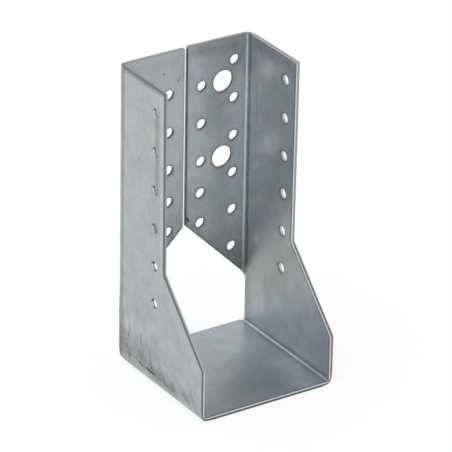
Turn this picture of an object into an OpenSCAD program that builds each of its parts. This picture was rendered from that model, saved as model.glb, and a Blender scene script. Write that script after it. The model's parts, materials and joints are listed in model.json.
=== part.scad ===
// Joist hanger with flanges turned inwards, folded from one galvanised sheet.
// The seat carries the end of the joist, the two side walls hold it upright, and the flanges
// behind it are bolted or nailed to the header. X runs across the joist, the joist comes in
// from -Y, and Z is up. The origin is the middle of the seat's underside.

/* [Joist pocket] */
// Clear width between the two side walls
pocket_w = 71; // [50:1:120]
// Height of the walls above the seat
pocket_h = 155; // [140:1:240]
// Depth of the seat, from the header to the front edge
seat_depth = 77; // [60:1:110]

/* [Sheet] */
// Thickness of the sheet
sheet_t = 2; // [1:0.5:3]
// Inside radius of every fold
bend_r = 1.5; // [0.5:0.5:4]

/* [Side walls] */
// Depth of a wall above its shoulder, from the header to the front edge
wall_depth = 42; // [32:1:55]
// Height of the upright front edge at the seat
nose_h = 26; // [15:1:40]
// Height at which the sloping front edge reaches the upper wall
shoulder_h = 62; // [45:1:75]
// Rear edge of the seat, in front of the header face
seat_setback = 1.2; // [1:0.2:4]

/* [Flanges] */
// Width of the slit between the two flanges
slit_w = 2; // [1:0.5:8]
// Height of the window at the side walls
window_side_h = 26; // [18:1:36]
// Height of the window in the middle
window_peak_h = 62; // [45:1:72]

/* [Nail holes] */
// Diameter of a nail hole
nail_d = 5; // [3:0.5:6]
// Distance from one nail hole to the next in the outer and side columns
nail_pitch = 20; // [14:1:26]
// Number of nail holes in the outer and side columns
nail_rows = 6; // [2:1:6]
// Top edge to the first nail hole
nail_top = 12.5; // [6:0.5:18]
// Outer face of the wall to the outer nail column of the flange
outer_column = 9.5; // [8:0.5:14]
// Edge of the slit to the inner nail column of the flange
inner_column = 8.5; // [5:0.5:11]
// Number of holes in the inner column that keep the nail pitch
inner_rows = 3; // [1:1:3]
// Steps down to the two closer holes at the foot of the inner column
inner_foot_steps = [17, 16]; // [12:1:20]
// Front edge of the upper wall to the side nail column
side_column = 8; // [5:0.5:12]

/* [Bolt holes] */
// Diameter of a bolt hole
bolt_d = 11; // [6:0.5:13]
// Edge of the slit to the bolt column
bolt_column = 20.5; // [18:0.5:22]

/* [Hidden] */
$fn = 48;
reach = 1;
// The flanges' folds run this far along the flat of the walls
fold_overlap = 1;

outer_w = pocket_w + 2 * sheet_t;
hanger_h = pocket_h + sheet_t;
bend_outer_r = bend_r + sheet_t;

rear_y = seat_depth / 2;
front_y = rear_y - seat_depth;
wall_front_y = rear_y - wall_depth;
fold_y = rear_y - bend_outer_r;

// Nail columns on the flanges and on the walls, and the heights of their rows
outer_x = outer_w / 2 - outer_column;
inner_x = slit_w / 2 + inner_column;
bolt_x = slit_w / 2 + bolt_column;
side_y = wall_front_y + side_column;
top_row_z = hanger_h - nail_top;
inner_top_z = top_row_z - nail_pitch / 2;
inner_foot_z = inner_top_z - (inner_rows - 1) * nail_pitch - inner_foot_steps[0];

outer_rows_z = [for (i = [0 : nail_rows - 1]) top_row_z - i * nail_pitch];
inner_rows_z = concat(
    [for (i = [0 : inner_rows - 1]) inner_top_z - i * nail_pitch],
    [inner_foot_z, inner_foot_z - inner_foot_steps[1]]
);
// The bolts sit level with the first and the third nail of the inner column
bolt_rows_z = [inner_top_z, inner_top_z - 2 * nail_pitch];

// Height of a flange's lower edge at a distance x from the middle
function window_edge_z(x) =
    window_peak_h - (window_peak_h - window_side_h) * (x - slit_w / 2) / (outer_w - slit_w) * 2;

// A hole keeps at least half its own width of sheet below it
function clears_window(x, z, d) = z - d > window_edge_z(x);

// Outline of a trough of width w, open upwards, with round corners of radius r at the bottom
module trough(w, h, r) {
    for (side = [-1, 1])
        translate([side * (w / 2 - r), r])
            circle(r);
    translate([r - w / 2, 0])
        square([w - 2 * r, h]);
    translate([-w / 2, r])
        square([w, h - r]);
}

// Section of the folded sheet: a U with one sheet's thickness all round
module folded_section(h) {
    difference() {
        trough(outer_w, h, bend_outer_r);
        translate([0, sheet_t])
            trough(pocket_w, h, bend_r);
    }
}

// Side view of a wall with its nose, its sloping front edge and its rear edge
module wall_outline() {
    polygon([
        [front_y, 0],
        [front_y, nose_h],
        [wall_front_y, shoulder_h],
        [wall_front_y, hanger_h],
        [fold_y, hanger_h],
        [fold_y, bend_outer_r],
        [rear_y - seat_setback, sheet_t],
        [rear_y - seat_setback, 0]
    ]);
}

// Front view of the right flange, from the slit to the outer face of the wall
module flange_outline() {
    polygon([
        [slit_w / 2, window_peak_h],
        [outer_w / 2, window_side_h],
        [outer_w / 2, hanger_h],
        [slit_w / 2, hanger_h]
    ]);
}

// Seat and both side walls, folded along Y
module seat_and_walls() {
    intersection() {
        translate([0, rear_y, 0])
            rotate([90, 0, 0])
                linear_extrude(seat_depth)
                    folded_section(hanger_h);
        translate([-outer_w / 2, 0, 0])
            rotate([90, 0, 90])
                linear_extrude(outer_w)
                    wall_outline();
    }
}

// Both flanges with the upright folds that join them to the walls
module flanges() {
    intersection() {
        translate([0, rear_y, 0])
            rotate([0, 0, 180])
                linear_extrude(hanger_h)
                    folded_section(bend_outer_r + fold_overlap);
        for (side = [0, 1])
            mirror([side, 0, 0])
                translate([0, rear_y, 0])
                    rotate([90, 0, 0])
                        linear_extrude(bend_outer_r + fold_overlap)
                            flange_outline();
    }
}

// A hole through both sheets of a mirrored pair, along X or along Y
module hole_along_x(y, z, d) {
    translate([-outer_w / 2 - reach, y, z])
        rotate([0, 90, 0])
            cylinder(h = outer_w + 2 * reach, d = d);
}

module hole_along_y(x, z, d) {
    if (clears_window(x, z, d))
        for (side = [-1, 1])
            translate([side * x, rear_y + reach, z])
                rotate([90, 0, 0])
                    cylinder(h = sheet_t + 2 * reach, d = d);
}

module nail_holes() {
    for (z = outer_rows_z) {
        hole_along_x(side_y, z, nail_d);
        hole_along_y(outer_x, z, nail_d);
    }
    for (z = inner_rows_z)
        hole_along_y(inner_x, z, nail_d);
}

module bolt_holes() {
    for (z = bolt_rows_z)
        hole_along_y(bolt_x, z, bolt_d);
}

module hanger() {
    color("#9aa0a3")
        difference() {
            union() {
                seat_and_walls();
                flanges();
            }
            nail_holes();
            bolt_holes();
        }
}

hanger();
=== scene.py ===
"""Joist hanger folded from one galvanised sheet, standing on a pale studio floor."""

import json
import math

import bpy
import numpy as np
from bpy.props import FloatProperty, FloatVectorProperty, IntProperty, PointerProperty, StringProperty
from mathutils import Matrix, Vector, kdtree
from mathutils.geometry import delaunay_2d_cdt


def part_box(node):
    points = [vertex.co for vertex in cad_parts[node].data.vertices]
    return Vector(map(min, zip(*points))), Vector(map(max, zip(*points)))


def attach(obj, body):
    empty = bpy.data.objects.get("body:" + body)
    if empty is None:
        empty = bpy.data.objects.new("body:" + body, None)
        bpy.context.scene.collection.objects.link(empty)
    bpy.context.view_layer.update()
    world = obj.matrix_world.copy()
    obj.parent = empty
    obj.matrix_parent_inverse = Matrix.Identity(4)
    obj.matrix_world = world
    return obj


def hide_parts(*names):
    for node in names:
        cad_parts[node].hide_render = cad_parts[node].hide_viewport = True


bl_info = {
    "name": "Joist Hanger",
    "version": (1, 0, 0),
    "blender": (4, 5, 0),
    "location": "View3D > Sidebar > Hanger",
    "description": "Folds a galvanised joist hanger from its punched blank and sets the studio around it",
    "category": "Add Mesh",
}

NODE = "hanger"
MM = 0.001
RIGHT_ANGLE = math.pi / 2

# Kinds of node that the trees and materials use often, some with their operation
MATH = "ShaderNodeMath"
TIMES = "ShaderNodeMath.MULTIPLY"
PLUS = "ShaderNodeMath.ADD"
MINUS = "ShaderNodeMath.SUBTRACT"
OVER = "ShaderNodeMath.DIVIDE"
TIMES_PLUS = "ShaderNodeMath.MULTIPLY_ADD"
GREATEST = "ShaderNodeMath.MAXIMUM"
LEAST = "ShaderNodeMath.MINIMUM"
ABOVE = "ShaderNodeMath.GREATER_THAN"
BELOW = "ShaderNodeMath.LESS_THAN"
VECTOR = "ShaderNodeVectorMath"
MAP = "ShaderNodeMapRange"
MIX = "ShaderNodeMix"
NOISE = "ShaderNodeTexNoise"
BUMP = "ShaderNodeBump"
ATTRIBUTE = "ShaderNodeAttribute"
JOIN_AXES = "ShaderNodeCombineXYZ"
SPLIT_AXES = "ShaderNodeSeparateXYZ"
NAMED = "GeometryNodeInputNamedAttribute"
STORE = "GeometryNodeStoreNamedAttribute"
MOVE = "GeometryNodeSetPosition"
SURFACE = "GeometryNodeSetMaterial"

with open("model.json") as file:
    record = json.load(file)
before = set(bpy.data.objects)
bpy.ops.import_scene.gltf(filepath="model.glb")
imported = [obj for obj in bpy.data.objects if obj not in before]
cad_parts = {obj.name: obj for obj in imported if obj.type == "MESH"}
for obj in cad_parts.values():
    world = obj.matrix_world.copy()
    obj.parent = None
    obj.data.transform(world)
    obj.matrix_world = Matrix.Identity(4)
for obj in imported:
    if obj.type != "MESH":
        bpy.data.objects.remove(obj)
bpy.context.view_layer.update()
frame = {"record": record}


class HangerSheet(bpy.types.PropertyGroup):
    """Sizes of the folded sheet that the frame doesn't give by itself"""

    thickness: FloatProperty(
        name="Thickness", description="Thickness of the sheet",
        default=2.0 * MM, min=0.001, unit="LENGTH")
    bend_radius: FloatProperty(
        name="Bend radius", description="Inside radius of every fold",
        default=1.5 * MM, min=0.0002, unit="LENGTH")
    slit: FloatProperty(
        name="Slit", description="Gap between the two flanges",
        default=2.0 * MM, min=0.0005, unit="LENGTH")
    wall_depth: FloatProperty(
        name="Wall depth", description="Depth of a wall above its shoulder",
        default=42.0 * MM, min=0.02, unit="LENGTH")
    nose_height: FloatProperty(
        name="Nose height", description="Top of the upright front edge at the seat",
        default=26.0 * MM, min=0.01, unit="LENGTH")
    shoulder_height: FloatProperty(
        name="Shoulder height", description="Height where the sloping front edge ends",
        default=62.0 * MM, min=0.02, unit="LENGTH")
    window_side: FloatProperty(
        name="Window side", description="Height of the window at the side walls",
        default=26.0 * MM, min=0.01, unit="LENGTH")
    window_peak: FloatProperty(
        name="Window peak", description="Height of the window in the middle",
        default=62.0 * MM, min=0.02, unit="LENGTH")
    seat_setback: FloatProperty(
        name="Seat setback", description="Rear edge of the seat, in front of the header face",
        default=1.2 * MM, min=0.0, unit="LENGTH")
    corner_radius: FloatProperty(
        name="Corner radius", description="Radius of the blank's corners",
        default=0.6 * MM, min=0.0002, unit="LENGTH")
    relief_radius: FloatProperty(
        name="Relief radius", description="Radius of the blank's inner corners at the window",
        default=2.0 * MM, min=0.0002, unit="LENGTH")
    wall_lip: FloatProperty(
        name="Wall lip", description="How far a wall runs past its flange's fold, below the flange",
        default=0.6 * MM, min=0.0, unit="LENGTH")
    thinning: FloatProperty(
        name="Thinning", description="How much thinner the outside of a fold is drawn",
        default=0.35 * MM, min=0.0, unit="LENGTH")
    seat_crease: FloatProperty(
        name="Seat crease", description="How much deeper the inside of the seat's folds is pressed in",
        default=0.5 * MM, min=0.0, unit="LENGTH")
    thinning_reach: FloatProperty(
        name="Thinning reach", description="How far the thinning runs out on both sides of a fold",
        default=4.5 * MM, min=0.0001, unit="LENGTH")
    toe_in: FloatProperty(
        name="Toe-in", description="How far the rear of the left wall stands in",
        default=0.4 * MM, unit="LENGTH")
    left_rise: FloatProperty(
        name="Left rise", description="How much higher the left wall's sloping edge is cut",
        default=1.3 * MM, unit="LENGTH")
    left_lean: FloatProperty(
        name="Left lean", description="How far forward the left wall's top front corner is cut",
        default=-0.5 * MM, unit="LENGTH")
    right_lean: FloatProperty(
        name="Right lean", description="How far forward the right wall's top front corner is cut",
        default=1.0 * MM, unit="LENGTH")
    left_relief: FloatProperty(
        name="Left relief", description="How far forward the left rear corner is cut away at the seat",
        default=3.2 * MM, min=0.0, unit="LENGTH")
    flange_lift: FloatProperty(
        name="Flange lift", description="How far the right flange's free edge stands up",
        default=0.35 * MM, unit="LENGTH")
    mesh_step: FloatProperty(
        name="Mesh step", description="Distance between the points of the flat mesh",
        default=1.5 * MM, min=0.0005, unit="LENGTH")
    fold_steps: IntProperty(
        name="Fold steps", description="Rows of faces round a fold",
        default=10, min=4)


class PunchedEdge(bpy.types.PropertyGroup):
    """The four zones of a punched or sheared edge, from the face that the tool entered"""

    roll: FloatProperty(
        name="Rolled edge", description="Width and depth of the rounding on the punched face",
        default=0.3 * MM, min=0.00005, unit="LENGTH")
    burnish: FloatProperty(
        name="Burnished depth", description="Depth of the smooth band that the tool leaves",
        default=0.55 * MM, min=0.00005, unit="LENGTH")
    flare: FloatProperty(
        name="Fracture flare", description="How far the torn lower part of a hole stands back",
        default=0.5 * MM, min=0.0, unit="LENGTH")
    outline_flare: FloatProperty(
        name="Outline flare", description="How far the torn lower part of the outline stands back",
        default=0.05 * MM, min=0.0, unit="LENGTH")
    burr: FloatProperty(
        name="Burr", description="Height of the burr on the far face",
        default=0.05 * MM, min=0.0, unit="LENGTH")
    clearance: FloatProperty(
        name="Clearance", description="How much wider than its punch a hole's radius came out",
        default=0.09 * MM, min=0.0, unit="LENGTH")
    circle_step: FloatProperty(
        name="Circle step", description="Length of one side of a hole's outline",
        default=0.45 * MM, min=0.0001, unit="LENGTH")


class ZincFinish(bpy.types.PropertyGroup):
    """Colours and gloss of the galvanised faces"""

    inner_colour: StringProperty(
        name="Inner colour", description="sRGB hex of the zinc on the inside", default="#aeb2b8")
    outer_colour: StringProperty(
        name="Outer colour", description="sRGB hex of the zinc on the outside", default="#aeb1b4")
    yellowed_colour: StringProperty(
        name="Yellowed colour", description="sRGB hex of the zinc where it has aged", default="#a3a28c")
    rubbed_colour: StringProperty(
        name="Rubbed colour", description="sRGB hex of the zinc where the folding tool rubbed it",
        default="#6f6a6c")
    # Colour of the scuffs and specks, which the painted shade along the seat's fold also takes
    dirt_and_shade_colour: StringProperty(
        name="Dirt colour", description="sRGB hex of the scuffs and specks", default="#403f3b")
    metallic: FloatProperty(
        name="Metallic", description="Share of the zinc that mirrors as bare metal",
        default=0.82, min=0.0, max=1.0, subtype="FACTOR")
    roughness: FloatProperty(
        name="Roughness", description="Blur of the clean zinc's reflections",
        default=0.38, min=0.06, max=1.0, subtype="FACTOR")


class Studio(bpy.types.PropertyGroup):
    """Camera and surroundings"""

    azimuth: FloatProperty(
        name="Azimuth", description="Direction of the view, from straight ahead of the joist's side",
        default=math.radians(-33.52), subtype="ANGLE", unit="ROTATION")
    elevation: FloatProperty(
        name="Elevation", description="Height of the view above the horizon",
        default=math.radians(26.53), subtype="ANGLE", unit="ROTATION")
    roll: FloatProperty(
        name="Roll", description="Turn of the picture about its middle",
        default=math.radians(-0.985), subtype="ANGLE", unit="ROTATION")
    aim: FloatVectorProperty(
        name="Aim", description="Point in the middle of the picture",
        default=(4.05 * MM, 5.70 * MM, 74.81 * MM), subtype="XYZ", unit="LENGTH")
    distance: FloatProperty(
        name="Distance", description="Camera to the aim", default=2.0985, min=0.1, unit="LENGTH")
    lens: FloatProperty(
        name="Lens", description="Focal length in millimetres", default=349.7, min=10.0)
    floor_size: FloatProperty(
        name="Floor size", description="Side of the square floor", default=4.0, min=0.5, unit="LENGTH")
    floor_colour: StringProperty(name="Floor colour", description="sRGB hex", default="#ffffff")
    glow_colour: StringProperty(
        name="Glow colour", description="sRGB hex of the light paper behind the object", default="#ffffff")
    glow: FloatProperty(
        name="Glow", description="How much of the floor's look is the light paper's and not the floor's",
        default=0.78, min=0.0, max=1.0, subtype="FACTOR")
    key: FloatProperty(
        name="Key", description="Strength of the soft box on the left, in front", default=0.7, min=0.0)
    window: FloatProperty(
        name="Window", description="Strength of the window on the left, behind", default=0.56, min=0.0)
    fill_front: FloatProperty(
        name="Fill in front", description="Strength of the even light from the front", default=0.75, min=0.0)
    fill_rear: FloatProperty(
        name="Fill behind", description="Strength of the even light from behind", default=0.87, min=0.0)
    lamp_colour: StringProperty(
        name="Lamp colour", description="sRGB hex of the soft box and the even light", default="#fcfcfc")
    window_colour: StringProperty(
        name="Window colour", description="sRGB hex of the window's daylight", default="#d4e6ff")


def linear(hex_colour):
    """An sRGB hex colour as linear red, green, blue and alpha"""
    channels = [int(hex_colour[i:i + 2], 16) / 255 for i in (1, 3, 5)]
    return [c / 12.92 if c <= 0.04045 else ((c + 0.055) / 1.055) ** 2.4 for c in channels] + [1.0]


def add(tree, kind, inputs=(), **settings):
    """Adds a node, whose kind may name its operation after a dot, and returns its outputs. Its inputs come
    in order, or by name or number. A socket is linked, a hex colour is made linear, and any other value
    is set."""
    kind, _, operation = kind.partition(".")
    made = tree.nodes.new(kind)
    if operation:
        made.operation = operation
    for name, value in settings.items():
        setattr(made, name, value)
    for key, value in inputs.items() if isinstance(inputs, dict) else enumerate(inputs):
        if isinstance(value, bpy.types.NodeSocket):
            tree.links.new(value, made.inputs[key])
            continue
        is_colour = isinstance(value, str) and value.startswith("#")
        made.inputs[key].default_value = linear(value) if is_colour else value
    return made.outputs


class Blank:
    """The flat blank. X runs up the walls on both sides of the seat, Y back into the flanges."""

    def __init__(self, sheet):
        low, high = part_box(NODE)
        self.sheet = sheet
        self.half_width = high[0]
        self.front = low[1]
        self.rear = high[1]
        self.height = high[2]
        self.bend_outer = sheet.bend_radius + sheet.thickness
        self.bend_middle = sheet.bend_radius + sheet.thickness / 2
        self.arc = RIGHT_ANGLE * self.bend_middle
        self.seat_half = self.half_width - self.bend_outer
        self.fold_y = self.rear - self.bend_outer

    def up(self, z):
        """Blank X of a point at height z on a wall"""
        return self.seat_half + self.arc + z - self.bend_outer

    def back(self, x):
        """Blank Y of a point on a flange, x from the middle"""
        return self.fold_y + self.arc + self.seat_half - x

    def corners(self, lean, rise=0.0, cut=0.0):
        """Corners of one half with their radii, from the front to the rear of the seat"""
        s = self.sheet
        rate = (s.window_peak - s.window_side) / (self.half_width - s.slit / 2)
        notch_height = s.window_peak - rate * (self.seat_half - s.slit / 2 + self.arc - s.wall_lip)
        wall_rear = self.fold_y + s.wall_lip
        wall_front = self.rear - s.wall_depth
        small, relief = s.corner_radius, s.relief_radius
        seat_corner = self.seat_half
        relieved = []
        if cut:
            seat_corner = self.seat_half - relief
            relieved = [((self.seat_half + self.arc / 2, wall_rear - cut), small)]
        return [
            ((self.up(s.nose_height + rise), self.front), small),
            ((self.up(s.shoulder_height + rise), wall_front), small),
            ((self.up(self.height), wall_front - lean), small),
            ((self.up(self.height), self.back(s.slit / 2)), small),
            ((self.up(s.window_peak), self.back(s.slit / 2)), small),
            ((self.up(notch_height), wall_rear), relief),
            ((self.up(self.bend_outer), wall_rear), relief / 2),
            *relieved,
            ((seat_corner, self.rear - s.seat_setback), relief / 2),
        ]

    def outline(self):
        """The whole outline, with round corners, as points no further apart than a mesh step"""
        s = self.sheet
        left = self.corners(s.left_lean, s.left_rise, s.left_relief)
        left = [((-x, y), radius) for (x, y), radius in reversed(left)]
        return walk(rounded(self.corners(s.right_lean) + left), self.step_at)

    def step_at(self, point):
        """Distance between points: short in a fold, long on the flats"""
        x, y = abs(point[0]), point[1]
        fine = self.arc / self.sheet.fold_steps
        margin = self.sheet.mesh_step / 2
        in_seat_fold = self.seat_half - margin < x < self.seat_half + self.arc + margin
        in_flange_fold = self.fold_y - margin < y < self.fold_y + self.arc + margin
        return fine if in_seat_fold or in_flange_fold else self.sheet.mesh_step

    def ticks(self, low, high, fold_start):
        """Grid lines between low and high, close together round the fold that starts at fold_start"""
        flat, fold_end = self.sheet.mesh_step, fold_start + self.arc
        return np.concatenate([
            np.linspace(low, fold_start, max(2, round((fold_start - low) / flat) + 1))[:-1],
            np.linspace(fold_start, fold_end, self.sheet.fold_steps + 1)[:-1],
            np.linspace(fold_end, high, max(2, round((high - fold_end) / flat) + 1)),
        ])

    def grid(self):
        """The points of a grid over the whole blank"""
        across = self.ticks(0.0, self.up(self.height), self.seat_half)
        across = np.concatenate([-across[:0:-1], across])
        along = self.ticks(self.front, self.back(self.sheet.slit / 2), self.fold_y)
        x, y = np.meshgrid(across, along)
        return np.stack([x.ravel(), y.ravel()], axis=1)

    def holes(self):
        """Middle and radius of every punched hole, from the mounts in the record"""
        found = []
        for mount in frame["record"]["mounts"]:
            if mount["kind"] != "bolt_pattern":
                continue
            dims = mount["dims"]
            x, y, z = mount["pos_m"]
            across = dims.get("spacing_x_mm", 0) * MM / 2
            upwards = dims.get("spacing_y_mm", 0) * MM / 2
            for height in sorted({z - upwards, z + upwards}):
                if abs(mount["axis"][1]) > 0.5:
                    spots = [(side * self.up(height), self.back(across)) for side in (-1, 1)]
                else:
                    spots = [(math.copysign(self.up(height), x), y)]
                found += [(spot, dims["hole_r_mm"] * MM) for spot in spots]
        return found


# Turn of a round corner from one point to the next
CORNER_STEP = math.radians(15)

# A grid point is left out where it is nearer to a border than this share of a mesh step
CLEAR_OF_BORDER = 0.6

# Points of the blank that are nearer together than this many millimetres are one point
SAME_POINT = 1e-6


def rounded(corners):
    """Replaces each corner of a closed outline by an arc of its radius"""
    points = []
    count = len(corners)
    for i, (corner, radius) in enumerate(corners):
        here = Vector(corner)
        before = (Vector(corners[i - 1][0]) - here).normalized()
        after = (Vector(corners[(i + 1) % count][0]) - here).normalized()
        half_angle = before.angle(after) / 2
        middle = here + (before + after).normalized() * radius / math.sin(half_angle)
        reach = radius / math.tan(half_angle)
        first, last = here + before * reach - middle, here + after * reach - middle
        turn = first.angle_signed(last)
        steps = max(2, math.ceil(abs(turn) / CORNER_STEP))
        for k in range(steps + 1):
            points.append(middle + Matrix.Rotation(-turn * k / steps, 2) @ first)
    return points


def walk(points, step_at):
    """A closed outline with extra points, so that no side is longer than step_at allows there"""
    out = []
    for i, start in enumerate(points):
        end = points[(i + 1) % len(points)]
        here = start
        out.append(here)
        while (end - here).length > 1.5 * step_at(here):
            here = here + (end - here).normalized() * step_at(here)
            if (end - here).length > 0.5 * step_at(here):
                out.append(here)
    return np.array(out)


def outward(points):
    """Unit normals of a closed anticlockwise outline, lengthened at its corners"""
    before = points - np.roll(points, 1, axis=0)
    after = np.roll(points, -1, axis=0) - points
    middle = np.zeros_like(points)
    for side in (before, after):
        middle += np.stack([side[:, 1], -side[:, 0]], axis=1) / np.linalg.norm(side, axis=1)[:, None]
    return 2 * middle / (middle ** 2).sum(axis=1)[:, None]


def inside(points, loops):
    """Which points lie in the sheet: inside its outline and outside its holes"""
    odd = np.zeros(len(points), dtype=bool)
    x, y = points[:, 0], points[:, 1]
    for loop in loops:
        for (x0, y0), (x1, y1) in zip(loop, np.roll(loop, -1, axis=0)):
            if y0 == y1:
                continue
            crosses = (y0 > y) != (y1 > y)
            odd ^= crosses & (x < x0 + (y - y0) * (x1 - x0) / (y1 - y0))
    return odd


def flat_mesh(blank, edge):
    """The blank's face as a mesh whose borders stop where the rolled edges begin"""
    outline = blank.outline()
    loops, normals = [outline - outward(outline) * edge.roll], [outward(outline)]
    for middle, punch_radius in blank.holes():
        radius = punch_radius + edge.clearance
        count = 4 * round(math.tau * radius / edge.circle_step / 4)
        angles = np.arange(count) * math.tau / count
        ring = np.stack([np.cos(angles), np.sin(angles)], axis=1)
        loops.append(np.array(middle) + ring * (radius + edge.roll))
        normals.append(-ring)
    border = np.concatenate(loops)
    tree = kdtree.KDTree(len(border))
    for i, (x, y) in enumerate(border):
        tree.insert((x, y, 0), i)
    tree.balance()
    grid = blank.grid()
    grid = grid[inside(grid, loops)]
    clear = [tree.find((x, y, 0))[2] > CLEAR_OF_BORDER * blank.step_at((x, y)) for x, y in grid]
    points = np.concatenate([border, grid[clear]])

    sides, start = [], 0
    for loop in loops:
        count = len(loop)
        sides += [(start + i, start + (i + 1) % count) for i in range(count)]
        start += count
    scaled = [Vector(p) / MM for p in points]
    verts, _, faces, origins, _, _ = delaunay_2d_cdt(scaled, sides, [], 0, SAME_POINT)
    flat = np.array(verts) * MM
    faces = np.array(faces)
    kept = faces[inside(flat[faces].mean(axis=1), loops)]

    # The left wall's holes, the slit and the flanges' top edges are cut from the outer face
    out = np.zeros((len(flat), 3))
    flare, other_way, in_hole, rim = (np.zeros(len(flat)) for _ in range(4))
    all_normals = np.concatenate(normals)
    shoulder = blank.up(blank.sheet.shoulder_height)
    slit_side = blank.back(blank.sheet.slit / 2) - edge.roll - 0.01 * MM
    for i, sources in enumerate(origins):
        if not sources or sources[0] >= len(border):
            continue
        x, y = flat[i]
        out[i, :2] = all_normals[sources[0]]
        on_outline = sources[0] < len(outline)
        on_flange = y > blank.fold_y
        other_way[i] = abs(x) > shoulder and on_flange if on_outline else x < 0 and y < blank.fold_y
        flare[i] = edge.outline_flare if on_outline else edge.flare
        in_hole[i] = y > slit_side or not on_outline
        rim[i] = on_outline or not other_way[i]
    mesh = bpy.data.meshes.new("BlankFace")
    mesh.from_pydata([(x, y, 0.0) for x, y in flat], [], kept.tolist())
    mesh.attributes.new("outward", "FLOAT_VECTOR", "POINT").data.foreach_set("vector", out.ravel())
    stored = {"flare": flare, "cut_from_outside": other_way, "in_hole": in_hole, "rim": rim}
    for name, values in stored.items():
        mesh.attributes.new(name, "FLOAT", "POINT").data.foreach_set("value", values)
    mesh.validate()
    return mesh


def new_tree(name, kind, inputs, outputs):
    """A node tree with these named inputs and outputs, and the sockets that its inputs arrive at"""
    tree = bpy.data.node_groups.new(name, kind)
    for in_out, sockets in (("INPUT", inputs), ("OUTPUT", outputs)):
        for socket, value in sockets.items():
            tree.interface.new_socket(socket, in_out=in_out, socket_type="NodeSocket" + value)
    return tree, tree.nodes.new("NodeGroupInput").outputs


def fold_group():
    """Node group that bends a flat sheet past a line: along is the distance past it, height the
    distance above the sheet's middle"""
    inputs = dict.fromkeys(("Along", "Height", "Radius", "Angle"), "Float")
    tree, given = new_tree("Fold", "GeometryNodeTree", inputs, {"Along": "Float", "Height": "Float"})
    ratio = add(tree, OVER, (given["Along"], given["Radius"]))[0]
    started = add(tree, GREATEST, (ratio, 0.0))[0]
    turn = add(tree, LEAST, (started, given["Angle"]))[0]
    used = add(tree, TIMES, (given["Radius"], turn))[0]
    rest = add(tree, MINUS, (given["Along"], used))[0]
    lever = add(tree, MINUS, (given["Radius"], given["Height"]))[0]
    sine = add(tree, MATH, (turn,), operation="SINE")[0]
    cosine = add(tree, MATH, (turn,), operation="COSINE")[0]
    rest_along = add(tree, TIMES, (rest, cosine))[0]
    rest_up = add(tree, TIMES_PLUS, (rest, sine, given["Radius"]))[0]
    along = add(tree, TIMES_PLUS, (lever, sine, rest_along))[0]
    drop = add(tree, TIMES, (lever, cosine))[0]
    height = add(tree, MINUS, (rest_up, drop))[0]
    add(tree, "NodeGroupOutput", {"Along": along, "Height": height})
    return tree


def nearness_group():
    """Node group that is 1 inside a fold and fades to 0 at a distance from it"""
    inputs = dict.fromkeys(("Along", "Arc", "Reach"), "Float")
    tree, given = new_tree("Fold Nearness", "GeometryNodeTree", inputs, {"Nearness": "Float"})
    before = add(tree, MINUS, (0.0, given["Along"]))[0]
    past = add(tree, MINUS, (given["Along"], given["Arc"]))[0]
    away = add(tree, GREATEST, (before, past))[0]
    outside = add(tree, GREATEST, (away, 0.0))[0]
    fade = add(tree, MAP, (outside, 0.0, given["Reach"], 1.0, 0.0))[0]
    near = add(tree, MATH, (fade, 2.0), operation="POWER")[0]
    add(tree, "NodeGroupOutput", {"Nearness": near})
    return tree


# The rounding on the punched face is a little less deep than wide
ROLL_FLATTENING = 0.8

# Steps of the section that are bare steel, from the burnished band to the burr, and the same where the
# cut came from the other face
CUT_STEPS = (3, 4, 5)
CUT_STEPS_BACK = (1, 2, 3)

# Points of the front and the back that meet at an edge are merged within this distance
MEETING = 0.002 * MM


def edge_steps(edge, thickness):
    """Section of a punched edge, as steps from the rim of the punched face: how far outwards, whether
    the flare takes some of that back, and the height"""
    roll, top, bottom = edge.roll, thickness / 2, -thickness / 2
    steps = []
    for angle in (RIGHT_ANGLE / 3, RIGHT_ANGLE * 2 / 3, RIGHT_ANGLE):
        sunk = roll * (1 - math.cos(angle)) * ROLL_FLATTENING
        steps.append((roll * math.sin(angle), 0, top - sunk))
    burnt = steps[-1][2] - edge.burnish
    steps += [(roll, 0, burnt), (roll, 1, bottom + edge.burr), (roll, 1, bottom - edge.burr)]
    return steps + [(0.0, 0, bottom)]


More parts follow.
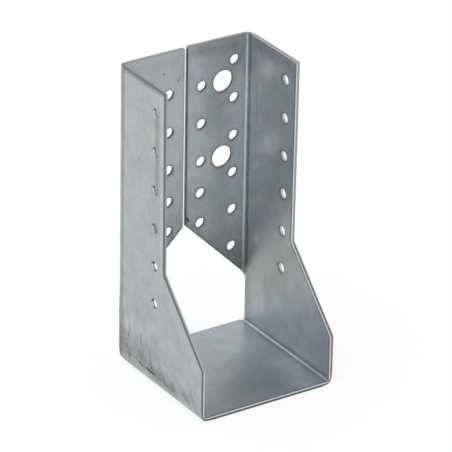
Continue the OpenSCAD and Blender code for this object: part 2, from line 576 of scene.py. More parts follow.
def with_edges(tree, face, half, sheet, edge):
    """Nodes that set two copies of the face a thickness apart and join them by punched edges. The faces
    that are cut steel are marked as cut_face."""
    stored = {"data_type": "FLOAT", "domain": "POINT"}
    lift = add(tree, JOIN_AXES, {"Z": half})[0]
    sink = add(tree, VECTOR, {0: lift, "Scale": -1.0}, operation="SCALE")[0]
    face = add(tree, STORE, {"Geometry": face, "Name": "cut_depth", "Value": 0.0}, **stored)[0]
    front = add(tree, MOVE, {"Geometry": face, "Offset": lift})[0]
    back = add(tree, MOVE, {"Geometry": face, "Offset": sink})[0]
    back = add(tree, STORE, {"Geometry": back, "Name": "cut_depth", "Value": 1.0}, **stored)[0]
    back = add(tree, "GeometryNodeFlipFaces", {"Mesh": back})[0]

    # Every border of the face is extruded once for each step of the edge's section. Where the cut came
    # from the other face, the same steps follow in the opposite order.
    neighbours = add(tree, "GeometryNodeInputMeshEdgeNeighbors")[0]
    chosen = add(tree, "FunctionNodeCompare", {2: neighbours, 3: 1}, data_type="INT", operation="EQUAL")[0]
    normal = add(tree, NAMED, {"Name": "outward"}, data_type="FLOAT_VECTOR")[0]
    flare = add(tree, NAMED, {"Name": "flare"}, data_type="FLOAT")[0]
    turned = add(tree, NAMED, {"Name": "cut_from_outside"}, data_type="FLOAT")[0]
    is_turned = add(tree, "FunctionNodeCompare", (turned, 0.5), operation="GREATER_THAN")[0]
    steps = edge_steps(edge, sheet.thickness)
    steps_back = [(out, flared, -height) for out, flared, height in reversed(steps[:-1])] + steps[-1:]
    last = last_back = (0.0, 0, sheet.thickness / 2)
    for i, (step, step_back) in enumerate(zip(steps, steps_back)):
        extruded = add(tree, "GeometryNodeExtrudeMesh",
                       {"Mesh": front, "Selection": chosen, "Offset Scale": 0.0}, mode="EDGES")
        chosen, side = extruded["Top"], extruded["Side"]
        ways = ((step, last), (step_back, last_back))
        moves = [add(tree, TIMES_PLUS, (flare, before[1] - now[1], now[0] - before[0]))[0]
                 for now, before in ways]
        rises = [now[2] - before[2] for now, before in ways]
        shares = [0.5 - now[2] / sheet.thickness for now, _ in ways]
        out, rise, share = (add(tree, MIX, {0: turned, 2: here, 3: there})[0]
                            for here, there in (moves, rises, shares))
        sideways = add(tree, VECTOR, {0: normal, "Scale": out}, operation="SCALE")[0]
        upwards = add(tree, JOIN_AXES, {"Z": rise})[0]
        shift = add(tree, VECTOR, (sideways, upwards), operation="ADD")[0]
        front = add(tree, MOVE, {"Geometry": extruded["Mesh"], "Selection": chosen, "Offset": shift})[0]
        front = add(tree, STORE, {"Geometry": front, "Selection": chosen, "Name": "cut_depth",
                                  "Value": share}, **stored)[0]
        turned_side = add(tree, "FunctionNodeBooleanMath", (side, is_turned), operation="AND")[0]
        for faces, is_cut in ((side, i in CUT_STEPS), (turned_side, i in CUT_STEPS_BACK)):
            front = add(tree, STORE, {"Geometry": front, "Selection": faces, "Name": "cut_face",
                                      "Value": is_cut}, data_type="BOOLEAN", domain="FACE")[0]
        last, last_back = step, step_back
    joined = tree.nodes.new("GeometryNodeJoinGeometry")
    for part in (back, front):
        tree.links.new(part, joined.inputs[0])
    return add(tree, "GeometryNodeMergeByDistance", {"Geometry": joined.outputs[0], "Distance": MEETING})[0]


def sheet_tree(materials, sheet, edge):
    """Geometry Nodes: gives the flat face its thickness and punched edges, and folds it"""
    sizes = ("Thickness", "Bend Radius", "Seat Fold", "Flange Fold", "Notch", "Seat Angle", "Flange Angle",
             "Thinning", "Thinning Reach", "Seat Crease", "Toe-in", "Flange Lift", "Front", "Depth")
    inputs = {"Geometry": "Geometry", **dict.fromkeys(sizes, "Float")}
    tree, given = new_tree("Folded Sheet", "GeometryNodeTree", inputs, {"Geometry": "Geometry"})
    half = add(tree, TIMES, (given["Thickness"], 0.5))[0]
    closed = with_edges(tree, given["Geometry"], half, sheet, edge)
    position = add(tree, "GeometryNodeInputPosition")[0]
    placed = add(tree, STORE, {"Geometry": closed, "Name": "sheet_place", "Value": position},
                 data_type="FLOAT_VECTOR", domain="POINT")[0]

    # Where a point is on the blank: on which half, how far out, and how far past each fold's start
    axes = add(tree, SPLIT_AXES, (position,))
    sign = add(tree, MATH, (axes["X"],), operation="SIGN")[0]
    width = add(tree, MATH, (axes["X"],), operation="ABSOLUTE")[0]
    above_notch = add(tree, "FunctionNodeCompare", (width, given["Notch"]), operation="GREATER_THAN")[0]
    on_left = add(tree, BELOW, (axes["X"], 0.0))[0]
    on_right = add(tree, MINUS, (1.0, on_left))[0]
    radius = add(tree, PLUS, (given["Bend Radius"], half))[0]
    arc = add(tree, TIMES, (radius, RIGHT_ANGLE))[0]
    past_flange = add(tree, MINUS, (axes["Y"], given["Flange Fold"]))[0]
    past_seat = add(tree, MINUS, (width, given["Seat Fold"]))[0]

    # A fold stretches the outside of the sheet, which draws it thinner there, and less near the notch
    nearness = nearness_group()
    near_flange, near_seat = (
        add(tree, "GeometryNodeGroup", {"Along": past, "Arc": arc, "Reach": given["Thinning Reach"]},
            node_tree=nearness)[0] for past in (past_flange, past_seat))
    full_height = add(tree, TIMES_PLUS, (given["Thinning Reach"], 4.0, given["Notch"]))[0]
    from_notch = add(tree, MAP, (width, given["Notch"], full_height))[0]
    near_flange = add(tree, TIMES, (near_flange, from_notch))[0]
    nearest = add(tree, GREATEST, (near_flange, near_seat))[0]
    inwards = add(tree, OVER, (axes["Z"], half))[0]
    outwards = add(tree, MINUS, (0.0, inwards))[0]
    outer_share, inner_share = (add(tree, GREATEST, (share, 0.0))[0] for share in (outwards, inwards))
    drawn = add(tree, TIMES, (nearest, given["Thinning"]))[0]
    drawn = add(tree, TIMES, (drawn, outer_share))[0]

    # The folding bar presses a crease into the inside of the seat's folds
    round_seat = add(tree, MAP, (past_seat, 0.0, arc, 0.0, math.pi))[0]
    crease = add(tree, MATH, (round_seat,), operation="SINE")[0]
    crease = add(tree, TIMES, (crease, inner_share))[0]
    pressed = add(tree, TIMES, (crease, given["Seat Crease"]))[0]
    drawn = add(tree, MINUS, (drawn, pressed))[0]
    drawn_up = add(tree, JOIN_AXES, {"Z": drawn})[0]
    thinned = add(tree, MOVE, {"Geometry": placed, "Offset": drawn_up})[0]

    # The flanges are folded up first, then the two walls with them
    fold = fold_group()
    flange = add(tree, "GeometryNodeGroup", {"Along": past_flange, "Height": axes["Z"], "Radius": radius,
                                             "Angle": given["Flange Angle"]}, node_tree=fold)
    folded_y = add(tree, PLUS, (flange["Along"], given["Flange Fold"]))[0]
    out_on_flange = add(tree, MAP, (past_flange, 0.0, given["Seat Fold"]))[0]
    lift_share = add(tree, TIMES, (out_on_flange, on_right))[0]
    lifted, lifted_past_seat = (
        add(tree, TIMES_PLUS, (lift_share, given["Flange Lift"], along))[0]
        for along in (axes["X"], past_seat))
    flange_place = add(tree, JOIN_AXES, (lifted, folded_y, flange["Height"]))[0]
    with_flanges = add(tree, MOVE, {"Geometry": thinned, "Selection": above_notch,
                                    "Position": flange_place})[0]
    wall = add(tree, "GeometryNodeGroup", {"Along": lifted_past_seat, "Height": axes["Z"], "Radius": radius,
                                           "Angle": given["Seat Angle"]}, node_tree=fold)
    folded_x = add(tree, PLUS, (wall["Along"], given["Seat Fold"]))[0]
    signed_x = add(tree, TIMES, (folded_x, sign))[0]

    # The left wall leans in towards its rear
    from_front = add(tree, MINUS, (axes["Y"], given["Front"]))[0]
    toe = add(tree, OVER, (from_front, given["Depth"]))[0]
    outmost = add(tree, MAP, (width, 0.0, given["Seat Fold"]))[0]
    for share in (given["Toe-in"], outmost, on_left):
        toe = add(tree, TIMES, (toe, share))[0]
    signed_x = add(tree, PLUS, (signed_x, toe))[0]
    raised = add(tree, PLUS, (wall["Height"], half))[0]
    wall_place = add(tree, JOIN_AXES, (signed_x, axes["Y"], raised))[0]
    folded = add(tree, MOVE, {"Geometry": with_flanges, "Position": wall_place})[0]
    smooth = add(tree, "GeometryNodeSetShadeSmooth", {"Geometry": folded})[0]
    real = add(tree, "GeometryNodeRealizeInstances", {"Geometry": smooth})[0]
    coated = add(tree, SURFACE, {"Geometry": real, "Material": materials["sheet"]})[0]
    cut = add(tree, NAMED, {"Name": "cut_face"}, data_type="BOOLEAN")[0]
    finished = add(tree, SURFACE, {"Geometry": coated, "Selection": cut, "Material": materials["edge"]})[0]
    add(tree, "NodeGroupOutput", {"Geometry": finished})
    return tree


def mark_group():
    """Node group for a mark along a line from one point to another: 1 on the line, 0 at its width"""
    inputs = {**dict.fromkeys(("Place", "From", "To"), "Vector"), "Width": "Float", "Strength": "Float"}
    tree, given = new_tree("Mark", "ShaderNodeTree", inputs, {"Mark": "Float"})
    line = add(tree, VECTOR, (given["To"], given["From"]), operation="SUBTRACT")[0]
    here = add(tree, VECTOR, (given["Place"], given["From"]), operation="SUBTRACT")[0]
    gone = add(tree, VECTOR, (here, line), operation="DOT_PRODUCT")["Value"]
    whole = add(tree, VECTOR, (line, line), operation="DOT_PRODUCT")["Value"]
    share = add(tree, OVER, (gone, whole), use_clamp=True)[0]
    along = add(tree, VECTOR, {0: line, "Scale": share}, operation="SCALE")[0]
    off = add(tree, VECTOR, (here, along), operation="DISTANCE")["Value"]
    near = add(tree, MAP, (off, given["Width"], 0.0, 0.0, given["Strength"]),
               interpolation_type="SMOOTHSTEP")[0]
    add(tree, "NodeGroupOutput", {"Mark": near})
    return tree


def marks(tree, group, place, lines):
    """Adds up marks, each given in millimetres as from, to, half width and strength"""
    total = None
    for start, end, width, strength in lines:
        mark = add(tree, "ShaderNodeGroup", {
            "Place": place, "From": [v * MM for v in start], "To": [v * MM for v in end],
            "Width": width * MM, "Strength": strength}, node_tree=group)[0]
        total = mark if total is None else add(tree, PLUS, (total, mark))[0]
    return total


# Height of the walls' first nail holes and the distance down to the next, from the record's mounts
FIRST_ROW = 144.5 * MM
ROW_PITCH = 20 * MM

# Marks on the sheet in millimetres: from, to, half width, strength
SCUFFS = [
    ((-37.5, 34.0, 7.6), (-37.4, 19.5, 8.0), 0.8, 0.5),
    ((-37.5, 17.0, 7.6), (-37.4, 14.0, 6.6), 1.1, 1.3),
    ((-37.5, 12.0, 7.0), (-37.4, 9.6, 7.0), 0.9, 0.5),
    ((-37.5, 9.6, 7.2), (-37.4, 4.2, 6.7), 1.3, 1.3),
    ((-37.5, 3.0, 7.0), (-37.4, -14.0, 5.4), 0.8, 0.35),
]
# Specks, and painted shade: the line along the seat's fold at the right wall is painted shade beside the
# fold's highlight
SPECKS_AND_SHADE = [
    ((-12.3, 36.5, 146.0), (-12.1, 36.5, 146.3), 0.8, 0.8),
    ((-4.3, 36.5, 141.0), (-3.9, 36.5, 141.4), 0.9, 0.7),
    ((-14.0, 36.5, 139.4), (-13.8, 36.5, 139.6), 0.6, 0.4),
    ((1.5, 36.5, 66.6), (2.6, 36.5, 64.6), 0.9, 1.6),
    ((35.3, 6.0, 3.2), (35.3, -37.0, 3.2), 0.8, 0.3),
    ((35.5, 6.0, 120.0), (35.5, 6.4, 120.4), 0.6, 0.6),
    ((35.5, -10.6, 13.6), (35.5, -11.2, 9.6), 0.9, 0.3),
    ((-37.5, 19.1, 115.8), (-37.5, 19.1, 114.6), 1.2, 0.35),
]
# Smudges, and painted shade: the lines along the right wall's fold with the flange and along the seat's fold
# are painted shade beside the folds' highlights
SMUDGES_AND_SHADE = [
    ((5.0, 36.5, 153.6), (28.0, 36.5, 152.2), 5.0, 1.5),
    ((-30.0, 36.5, 152.0), (-5.0, 36.5, 152.0), 6.0, 0.5),
    ((-37.5, 32.0, 9.0), (-37.5, 4.0, 16.0), 16.0, 1.1),
    ((-37.5, 32.0, 14.0), (-37.5, 20.0, 12.0), 12.0, 0.8),
    ((-37.5, 12.0, 8.0), (-37.5, -12.0, 6.0), 6.0, 0.9),
    ((-37.5, 2.9, 146.0), (-37.5, 2.5, 104.0), 2.8, 1.9),
    ((-37.5, 4.0, 7.4), (-37.5, -26.0, 8.2), 6.0, 1.2),
    ((35.5, 28.6, 132.0), (35.5, 28.1, 113.0), 1.0, 1.1),
    ((35.5, 34.0, 8.0), (35.5, 34.0, 34.0), 9.0, 1.5),
    ((35.5, 16.0, 34.0), (35.5, 0.0, 50.0), 24.0, 0.9),
    ((35.5, 34.6, 30.0), (35.5, 34.6, 156.0), 1.8, 2.8),
    ((35.5, 31.0, 40.0), (35.5, 31.0, 156.0), 5.0, 0.4),
    ((35.5, 26.0, 154.0), (35.5, 0.0, 153.0), 8.0, 1.7),
    ((35.5, -4.0, 4.4), (35.5, -36.0, 4.2), 1.3, 1.4),
    ((34.8, 37.0, 2.8), (34.8, -38.0, 2.8), 1.4, 1.5),
    ((35.3, 37.0, 3.4), (35.3, 0.0, 3.4), 0.8, 1.8),
    ((-4.0, -25.0, 2.0), (10.0, -20.0, 2.0), 17.0, 1.2),
]
# Painted light: patches painted lighter where brighter light and reflections fall on the flanges, the seat
# and the walls, among them the nail holes' reflections on the right wall
PAINTED_LIGHT = [
    ((31.0, 36.5, 132.0), (30.0, 36.5, 62.0), 12.0, 2.2),
    ((15.0, 36.5, 104.0), (15.0, 36.5, 60.0), 12.0, 0.9),
    ((6.0, 36.5, 70.0), (28.0, 36.5, 50.0), 11.0, 0.8),
    ((-8.0, 36.5, 132.0), (5.0, 36.5, 92.0), 14.0, 0.6),
    ((26.0, -34.0, 2.0), (29.0, -12.0, 2.0), 13.0, 1.8),
    ((18.0, 8.0, 2.0), (30.0, 26.0, 2.0), 12.0, 0.9),
    ((-37.5, -1.7, 63.0), (-37.5, -1.7, 150.0), 1.9, 0.7),
    ((35.5, 19.0, 144.5), (35.5, 17.8, 146.5), 5.0, 1.1),
    ((35.5, 19.5, 108.0), (35.5, 17.0, 103.0), 5.0, 0.7),
    ((35.5, 27.2, 90.2), (35.5, 27.2, 91.2), 2.2, 1.0),
    ((35.5, 25.9, 50.6), (35.5, 26.4, 51.4), 2.0, 1.2),
]
YELLOWED = [
    ((-37.5, 26.0, 5.0), (-37.0, 2.0, 5.2), 4.0, 0.5),
    ((35.5, 32.0, 12.0), (35.5, 30.0, 36.0), 7.0, 0.9),
    ((35.5, 24.0, 34.0), (35.5, -2.0, 52.0), 24.0, 0.8),
    ((-22.0, 36.5, 146.0), (6.0, 36.5, 112.0), 22.0, 0.3),
    ((35.5, 19.4, 144.5), (35.5, 17.6, 146.5), 5.0, 1.0),
    ((35.5, 16.0, 98.0), (35.5, 13.0, 100.0), 5.0, 0.4),
    ((34.8, 37.0, 2.8), (34.8, -38.0, 2.8), 1.4, 0.9),
]

# The left wall's outer face lies beyond this, and the rest of the wall doesn't
OUTER_FACE = -36.8 * MM

# Most of a noise lies between these two levels
SWING = (0.25, 0.75)

# Ripples low on the outside of the left wall: the height where they begin and where they are in full, how
# much higher that is for each metre back, and how far they lean forwards at the front. A dip and a crest
# begin at the first of two levels of the noise and are in full at the second.
RIPPLE_TOP = 33 * MM
RIPPLE_FULL = 15 * MM
RIPPLE_RISE = 0.35
RIPPLE_LEAN = -0.8
DIPS = (0.47, 0.36)
CRESTS = (0.53, 0.66)


def galvanised_steel(finish):
    """Continuously galvanised sheet. Its zinc mirrors softly, has a cloudy mottle from cooling, and shows
    where the folding tool rubbed it"""
    material = bpy.data.materials.new("Galvanised sheet steel")
    material.use_nodes = True
    tree = material.node_tree
    shader = tree.nodes["Principled BSDF"].inputs
    shader["Metallic"].default_value = finish.metallic
    flat_place = add(tree, ATTRIBUTE, attribute_name="sheet_place")["Vector"]
    depth = add(tree, ATTRIBUTE, attribute_name="cut_depth")["Fac"]
    place = add(tree, "ShaderNodeTexCoord")["Object"]
    top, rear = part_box(NODE)[1][2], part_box(NODE)[1][1]

    # The two faces lie far apart in the noises, so that they don't show the same clouds
    sides = add(tree, VECTOR, (flat_place, (1.0, 1.0, 30.0)), operation="MULTIPLY")[0]
    stretched = add(tree, VECTOR, (sides, (0.1, 1.0, 1.0)), operation="MULTIPLY")[0]
    axes = add(tree, SPLIT_AXES, (place,))
    lean = add(tree, MAP, (axes["Y"], 35 * MM, -20 * MM, 0.0, RIPPLE_LEAN))[0]
    slid = add(tree, TIMES_PLUS, (axes["Z"], lean, axes["Y"]))[0]
    lengthened = add(tree, TIMES, (axes["Z"], 0.4))[0]
    drape = add(tree, JOIN_AXES, (slid, lengthened))[0]

    # Each pattern with the size of its grains in millimetres, its detail, seed and distortion. The zinc's
    # own crystals are under half a millimetre, too fine to show, so its grain is drawn at 1.1 mm.
    patterns = {}
    for name, where, size, detail, seed, distortion in (
            ("cloud", sides, 15, 4.0, 1.0, 1.2),
            ("wisp", sides, 4, 3.0, 2.0, 1.8),
            ("grain", sides, 1.1, 2.0, 3.0, 0.5),
            ("streak", stretched, 1.6, 1.0, 4.0, 0.4),
            ("tint", sides, 14, 2.0, 5.0, 1.0),
            ("bloom", sides, 10, 1.0, 9.0, 0.6),
            ("ripple", drape, 3.6, 1.0, 6.0, 0.7)):
        patterns[name] = add(tree, NOISE, {"Vector": where, "W": seed, "Scale": 1 / (size * MM),
                                           "Detail": detail, "Distortion": distortion},
                             noise_dimensions="4D")["Fac"]

    foot = add(tree, TIMES_PLUS, (axes["Y"], -RIPPLE_RISE, axes["Z"]))[0]
    low = add(tree, MAP, (foot, RIPPLE_TOP, RIPPLE_FULL))[0]
    clear = add(tree, MAP, (axes["Z"], 2 * MM, 7 * MM))[0]
    outside = add(tree, BELOW, (axes["X"], OUTER_FACE))[0]
    rippled = low
    for share in (clear, outside):
        rippled = add(tree, TIMES, (rippled, share))[0]
    # The ripples' dips are painted darker, as painted shade, and their crests lighter, as painted highlight
    dips, crests = (
        add(tree, TIMES, (add(tree, MAP, (patterns["ripple"], *levels))[0], rippled))[0]
        for levels in (DIPS, CRESTS))

    # Hairlines run where a wisp and a cloud both pass a level
    hair = []
    for name, level, width in (("wisp", 0.5, 0.02), ("cloud", 0.56, 0.05)):
        off = add(tree, MINUS, (patterns[name], level))[0]
        off = add(tree, MATH, (off,), operation="ABSOLUTE")[0]
        hair.append(add(tree, MAP, (off, width, 0.0))[0])
    hair = add(tree, TIMES, hair)[0]

    # Scuffs and specks are shaken by up to 0.45 mm, which makes them ragged
    wobble = add(tree, NOISE, {"Vector": place, "Scale": 0.9 / MM, "Detail": 2.0})["Color"]
    shaken = add(tree, VECTOR, (wobble, (0.9 * MM,) * 3, place), operation="MULTIPLY_ADD")[0]
    shaken = add(tree, VECTOR, (shaken, (0.45 * MM,) * 3), operation="SUBTRACT")[0]
    group = mark_group()
    scuffs = marks(tree, group, shaken, SCUFFS)
    specks_and_shade = marks(tree, group, shaken, SPECKS_AND_SHADE)
    smudges_and_shade = marks(tree, group, place, SMUDGES_AND_SHADE)
    patchy = add(tree, MAP, (patterns["wisp"], *SWING, 0.4, 1.6), clamp=False)[0]
    smudges_and_shade = add(tree, TIMES, (smudges_and_shade, patchy))[0]
    yellowed = marks(tree, group, place, YELLOWED)
    painted_light = marks(tree, group, place, PAINTED_LIGHT)
    dirt_and_shade = add(tree, PLUS, (scuffs, specks_and_shade), use_clamp=True)[0]

    # The rolled rims are painted darker, as painted shade, apart from the outer ones of the left half
    rim = add(tree, ATTRIBUTE, attribute_name="rim")["Fac"]
    rims = add(tree, MATH, (rim, 2.0), operation="POWER")[0]
    inner = add(tree, MAP, (depth, 0.95, 0.5))[0]
    on_right = add(tree, ABOVE, (axes["X"], 0.0))[0]
    shown = add(tree, GREATEST, (inner, on_right))[0]
    below_top = add(tree, MAP, (axes["Z"], top - 1 * MM, top - 3 * MM, 0.25))[0]
    for share in (shown, below_top):
        rims = add(tree, TIMES, (rims, share))[0]
    shaded_top = add(tree, MAP, (axes["Z"], top - 2.4 * MM, top - 0.2 * MM))[0]
    shaded_top = add(tree, TIMES, (shaded_top, outside))[0]

    # The zinc's two faces, with a warm and a cool tint that drift over them
    zinc = add(tree, MIX, {0: depth, 6: finish.inner_colour, 7: finish.outer_colour}, data_type="RGBA")[2]
    for name, least, most, colour in (("tint", -0.3, 1.3, "#fffdf8"), ("bloom", -0.4, 1.2, "#f8fffb")):
        share = add(tree, MAP, (patterns[name], *SWING, least, most), clamp=False)[0]
        zinc = add(tree, MIX, {0: share, 6: zinc, 7: colour}, data_type="RGBA", blend_type="MULTIPLY")[2]

    # How far each pattern swings the tone, and how much each mark changes it
    tone = None
    for name, change in (("cloud", 0.12), ("wisp", 0.08), ("grain", 0.05), ("streak", 0.015)):
        factor = add(tree, MAP, (patterns[name], *SWING, 1 - change, 1 + change), clamp=False)[0]
        tone = factor if tone is None else add(tree, TIMES, (tone, factor))[0]
    for mark, change in ((dips, -0.3), (crests, 0.1), (hair, -0.12), (smudges_and_shade, -0.14), (painted_light, 0.16),
                         (rims, -0.38), (shaded_top, -0.45)):
        factor = add(tree, TIMES_PLUS, (mark, change, 1.0))[0]
        tone = add(tree, TIMES, (tone, factor))[0]
    zinc = add(tree, VECTOR, {0: zinc, "Scale": tone}, operation="SCALE")[0]

    # The left flange's fold is rubbed grey on its outside
    flat_axes = add(tree, SPLIT_AXES, (flat_place,))
    fold_start = rear - 6.9 * MM
    folded = add(tree, MAP, (flat_axes["Y"], fold_start, fold_start + 1.2 * MM))[0]
    rubbed = add(tree, TIMES, (folded, outside))[0]
    for mark, strength, colour in ((yellowed, 0.25, finish.yellowed_colour),
                                   (rubbed, 0.48, finish.rubbed_colour), (dirt_and_shade, 0.85, finish.dirt_and_shade_colour)):
        share = add(tree, TIMES, (mark, strength))[0]
        zinc = add(tree, MIX, {0: share, 6: zinc, 7: colour}, data_type="RGBA")[2]

    # Dirt, smudges and the painted shade along the folds are duller than clean zinc
    least, most = finish.roughness - 0.06, finish.roughness + 0.06
    rough = add(tree, MAP, (patterns["wisp"], *SWING, least, most), clamp=False)[0]
    for mark, change in ((dirt_and_shade, 0.2), (smudges_and_shade, 0.06)):
        rough = add(tree, TIMES_PLUS, (mark, change, rough))[0]
    height = 0.0
    for mark, rise in ((patterns["grain"], 0.12), (patterns["wisp"], 0.5), (dips, -0.8), (dirt_and_shade, -0.5)):
        height = add(tree, TIMES_PLUS, (mark, rise, height))[0]
    bump = add(tree, BUMP, {"Strength": 0.6, "Distance": 0.04 * MM, "Height": height})[0]
    for name, value in (("Base Color", zinc), ("Roughness", rough), ("Normal", bump)):
        tree.links.new(value, shader[name])
    return material


def sheared_edge():
    """Cut edge of the sheet. A smooth bright band lies under the rolled edge, torn grey steel below it"""
    material = bpy.data.materials.new("Sheared steel edge")
    material.use_nodes = True
    tree = material.node_tree
    shader = tree.nodes["Principled BSDF"].inputs
    shader["Metallic"].default_value = 1.0
    place = add(tree, "ShaderNodeTexCoord")["Object"]
    axes = add(tree, SPLIT_AXES, (place,))
    depth = add(tree, ATTRIBUTE, attribute_name="cut_depth")["Fac"]
    other_way = add(tree, ATTRIBUTE, attribute_name="cut_from_outside")["Fac"]
    in_hole = add(tree, ATTRIBUTE, attribute_name="in_hole")["Fac"]

    # The real grain of torn steel, about 0.1 mm, is too fine to show, so it is drawn at 0.5 mm
    grain, ragged = (
        add(tree, NOISE, {"Vector": place, "W": seed, "Scale": 1 / (size * MM), "Detail": detail},
            noise_dimensions="4D")["Fac"] for size, detail, seed in ((0.5, 3.0, 7.0), (2.5, 2.0, 8.0)))

    # Depth below the face that the tool entered, where the torn part begins at a ragged line
    from_back = add(tree, MINUS, (1.0, depth))[0]
    depth = add(tree, MIX, {0: other_way, 2: depth, 3: from_back})[0]
    deeper = add(tree, TIMES, (in_hole, other_way))[0]
    depth = add(tree, TIMES_PLUS, (deeper, -0.25, depth))[0]
    limit = add(tree, TIMES_PLUS, (ragged, 0.12, depth))[0]
    torn = add(tree, MAP, (limit, 0.44, 0.52))[0]

    # Places on the hanger: its foot, where the cut steel is painted darker as painted contact shadow, its
    # upper part, its top edge and its two walls
    floor_contact_shade = add(tree, MAP, (axes["Z"], 3 * MM, 1 * MM))[0]
    upper = add(tree, MAP, (axes["Z"], 58 * MM, 66 * MM))[0]
    at_top = add(tree, ABOVE, (axes["Z"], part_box(NODE)[1][2] - MM))[0]
    left_wall = add(tree, BELOW, (axes["X"], -35 * MM))[0]
    right_wall = add(tree, ABOVE, (axes["X"], 35 * MM))[0]
    upper_left = add(tree, TIMES, (upper, left_wall))[0]

    # The light from below reaches the right wall's holes and the lower half of the left wall's
    rows = add(tree, MINUS, (axes["Z"], FIRST_ROW))[0]
    rows = add(tree, TIMES, (rows, 1 / ROW_PITCH))[0]
    in_row = add(tree, MATH, (rows,), operation="FRACT")[0]
    lower_half = add(tree, ABOVE, (in_row, 0.5))[0]
    lit_side = add(tree, TIMES, (lower_half, left_wall))[0]

    # Each step mixes two colours, by name or as hex, by a share. Away from the left wall the cut steel is
    # painted lighter higher up, as painted light. In the holes the dark torn steel is painted shade, and the
    # light torn steel of the right wall's holes is painted light.
    grainy = add(tree, MAP, (grain, *SWING, 0.0, 1.0), clamp=False)[0]
    colours = {}
    for name, share, first, second in (
            ("steel", grainy, "#76787a", "#8b8e90"),
            ("steel", floor_contact_shade, "steel", "#626466"),
            ("upper steel", left_wall, "#a2a4a6", "steel"),
            ("steel", upper, "steel", "upper steel"),
            ("dark", right_wall, "#4b4d50", "#dfe2e4"),
            ("dark", lit_side, "dark", "#a9acae"),
            ("torn", in_hole, "steel", "dark"),
            ("outer", lower_half, "#b9bcbe", "#dcdfe0"),
            ("dull", left_wall, "#77797c", "outer"),
            ("shaded", right_wall, "#5a5c5f", "#7d8083"),
            ("hole", deeper, "shaded", "dull"),
            ("bright", upper_left, "#d3d6d8", "#a9acae"),
            ("smooth", in_hole, "bright", "hole"),
            ("top", left_wall, "#b9bcbf", "#808286"),
            ("smooth", at_top, "smooth", "top"),
            ("cut", torn, "smooth", "torn")):
        colours[name] = add(tree, MIX, {0: share, 6: colours.get(first, first),
                                        7: colours.get(second, second)}, data_type="RGBA")[2]
    rough = add(tree, MAP, {"Value": torn, "To Min": 0.3, "To Max": 0.6})[0]
    height = add(tree, TIMES, (grain, torn))[0]
    bump = add(tree, BUMP, {"Strength": 0.6, "Distance": 0.03 * MM, "Height": height})[0]
    for name, value in (("Base Color", colours["cut"]), ("Roughness", rough), ("Normal", bump)):
        tree.links.new(value, shader[name])
    return material


def plain_mesh(source, tree, values):
    """Runs a tree on an object with these named inputs, and returns its result as a new mesh"""
    modifier = source.modifiers.new("Nodes", "NODES")
    modifier.node_group = tree
    sockets = {s.name: s.identifier for s in tree.interface.items_tree if s.in_out == "INPUT"}
    for name, value in values.items():
        modifier[sockets[name]] = value
    graph = bpy.context.evaluated_depsgraph_get()
    mesh = bpy.data.meshes.new_from_object(
        source.evaluated_get(graph), preserve_all_data_layers=True, depsgraph=graph)
    source.modifiers.remove(modifier)
    return mesh


# Points of the blank fold with the flanges from this far below the window's height at the walls
BELOW_WINDOW = 1.5 * MM

# Edges that turn by more than this are shaded sharp
SHARP_FROM = math.radians(40)


class HANGER_OT_fold_sheet(bpy.types.Operator):
    """Punch the blank, give it its thickness and fold it into the hanger"""

    bl_idname = "hanger.fold_sheet"
    bl_label = "Fold sheet"

    def execute(self, context):
        scene = context.scene
        sheet, edge = scene.hanger_sheet, scene.hanger_edge
        blank = Blank(sheet)
        piece = bpy.data.objects.new("FoldedSheet", flat_mesh(blank, edge))
        context.collection.objects.link(piece)
        materials = {"sheet": galvanised_steel(scene.hanger_finish), "edge": sheared_edge()}
        tree = sheet_tree(materials, sheet, edge)
        face = piece.data
        piece.data = plain_mesh(piece, tree, {
            "Thickness": sheet.thickness,
            "Bend Radius": sheet.bend_radius,
            "Seat Fold": blank.seat_half,
            "Flange Fold": blank.fold_y,
            "Notch": blank.up(sheet.window_side - BELOW_WINDOW),
            "Seat Angle": RIGHT_ANGLE,
            "Flange Angle": RIGHT_ANGLE,
            "Thinning": sheet.thinning,
            "Thinning Reach": sheet.thinning_reach,
            "Seat Crease": sheet.seat_crease,
            "Toe-in": sheet.toe_in,
            "Flange Lift": sheet.flange_lift,
            "Front": blank.front,
            "Depth": blank.rear - blank.front,
        })
        bpy.data.meshes.remove(face)
        piece.data.name = "FoldedSheet"
        piece.data.set_sharp_from_angle(angle=SHARP_FROM)
        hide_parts(NODE)
        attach(piece, "root")
        return {"FINISHED"}


# Directions of the soft box and the window, and where the light of each begins and is in full
BOX_PLACE = (-0.55, -0.70, 0.45)
WINDOW_PLACE = (-0.55, 0.70, 0.45)
LAMP_FADE = (0.4, 0.95)


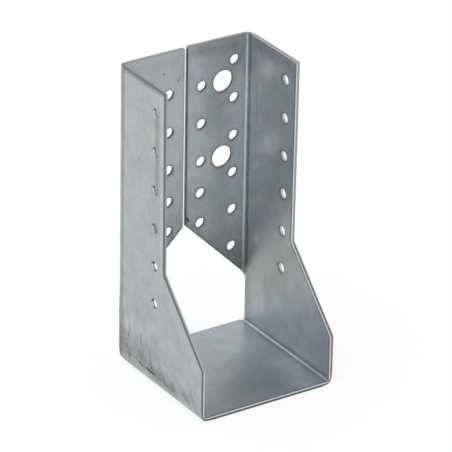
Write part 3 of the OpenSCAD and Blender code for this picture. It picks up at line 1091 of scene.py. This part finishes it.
class HANGER_OT_stage(bpy.types.Operator):
    """Lay the floor, light the studio and place the camera"""

    bl_idname = "hanger.stage"
    bl_label = "Set the studio"

    def execute(self, context):
        studio = context.scene.hanger_studio
        self.floor(context, studio)
        self.light(context, studio)
        self.camera(context, studio)
        context.scene.view_settings.view_transform = "Standard"
        return {"FINISHED"}

    def floor(self, context, studio):
        half = studio.floor_size / 2
        mesh = bpy.data.meshes.new("Floor")
        corners = [(-half, -half, 0), (half, -half, 0), (half, half, 0), (-half, half, 0)]
        mesh.from_pydata(corners, [], [(0, 1, 2, 3)])
        floor = bpy.data.objects.new("Floor", mesh)
        context.collection.objects.link(floor)
        material = bpy.data.materials.new("Studio floor")
        material.use_nodes = True
        tree = material.node_tree
        tree.nodes.clear()
        paper = add(tree, "ShaderNodeBsdfDiffuse", {"Color": studio.floor_colour})[0]
        light = add(tree, "ShaderNodeEmission", {"Color": studio.glow_colour})[0]
        path = add(tree, "ShaderNodeLightPath")
        seen = path["Is Camera Ray"]
        for ray in ("Is Glossy Ray", "Is Transmission Ray"):
            seen = add(tree, GREATEST, (seen, path[ray]))[0]
        share = add(tree, TIMES, (seen, studio.glow))[0]
        mixed = add(tree, "ShaderNodeMixShader", (share, paper, light))[0]
        add(tree, "ShaderNodeOutputMaterial", {"Surface": mixed})
        mesh.materials.append(material)

    def light(self, context, studio):
        world = bpy.data.worlds.new("Studio light")
        context.scene.world = world
        world.use_nodes = True
        tree = world.node_tree
        direction = add(tree, "ShaderNodeTexCoord")["Generated"]
        axes = add(tree, SPLIT_AXES, (direction,))
        fill = add(tree, MAP, (axes["Y"], -0.3, 0.5, studio.fill_front, studio.fill_rear))[0]

        # Two wide soft sources: a box on the left in front of the object, and a window on the left
        # behind it. Each fades from its middle to the edge of its light.
        lamps = []
        for place, strength in ((BOX_PLACE, studio.key), (WINDOW_PLACE, studio.window)):
            towards = add(tree, VECTOR, (direction, place), operation="DOT_PRODUCT")["Value"]
            lamps.append(add(tree, MAP, (towards, *LAMP_FADE, 0.0, strength),
                             interpolation_type="SMOOTHSTEP")[0])
        both = add(tree, PLUS, lamps)[0]
        total = add(tree, PLUS, (both, fill))[0]
        blue = add(tree, OVER, (lamps[1], total), use_clamp=True)[0]
        colour = add(tree, MIX, {0: blue, 6: studio.lamp_colour, 7: studio.window_colour},
                     data_type="RGBA")[2]
        background = tree.nodes["Background"].inputs
        tree.links.new(colour, background["Color"])
        tree.links.new(total, background["Strength"])

    def camera(self, context, studio):
        a, e = studio.azimuth, studio.elevation
        back = Vector((math.sin(a) * math.cos(e), -math.cos(a) * math.cos(e), math.sin(e)))
        right = Vector((math.cos(a), math.sin(a), 0))
        level = Matrix((right, back.cross(right), back)).transposed()
        turned = level @ Matrix.Rotation(-studio.roll, 3, "Z")
        camera = bpy.data.objects.new("Camera", bpy.data.cameras.new("Camera"))
        context.collection.objects.link(camera)
        camera.data.lens = studio.lens
        camera.data.clip_end = 10.0
        place = Vector(studio.aim) + back * studio.distance
        camera.matrix_world = Matrix.Translation(place) @ turned.to_4x4()
        context.scene.camera = camera


class HANGER_PT_panel(bpy.types.Panel):
    """Sizes and steps of the joist hanger"""

    bl_label = "Joist Hanger"
    bl_idname = "HANGER_PT_panel"
    bl_space_type = "VIEW_3D"
    bl_region_type = "UI"
    bl_category = "Hanger"

    def draw(self, context):
        for setting in SETTINGS:
            group = getattr(context.scene, setting)
            box = self.layout.box()
            for name in group.__annotations__:
                box.prop(group, name)
        self.layout.operator("hanger.fold_sheet")
        self.layout.operator("hanger.stage")


SETTINGS = {
    "hanger_sheet": HangerSheet,
    "hanger_edge": PunchedEdge,
    "hanger_finish": ZincFinish,
    "hanger_studio": Studio,
}
CLASSES = (*SETTINGS.values(), HANGER_OT_fold_sheet, HANGER_OT_stage, HANGER_PT_panel)


def register():
    for cls in CLASSES:
        bpy.utils.register_class(cls)
    for name, group in SETTINGS.items():
        setattr(bpy.types.Scene, name, PointerProperty(type=group))


def unregister():
    for name in SETTINGS:
        delattr(bpy.types.Scene, name)
    for cls in reversed(CLASSES):
        bpy.utils.unregister_class(cls)


def main():
    register()
    bpy.ops.hanger.fold_sheet()
    bpy.ops.hanger.stage()


if __name__ == "__main__":
    main()
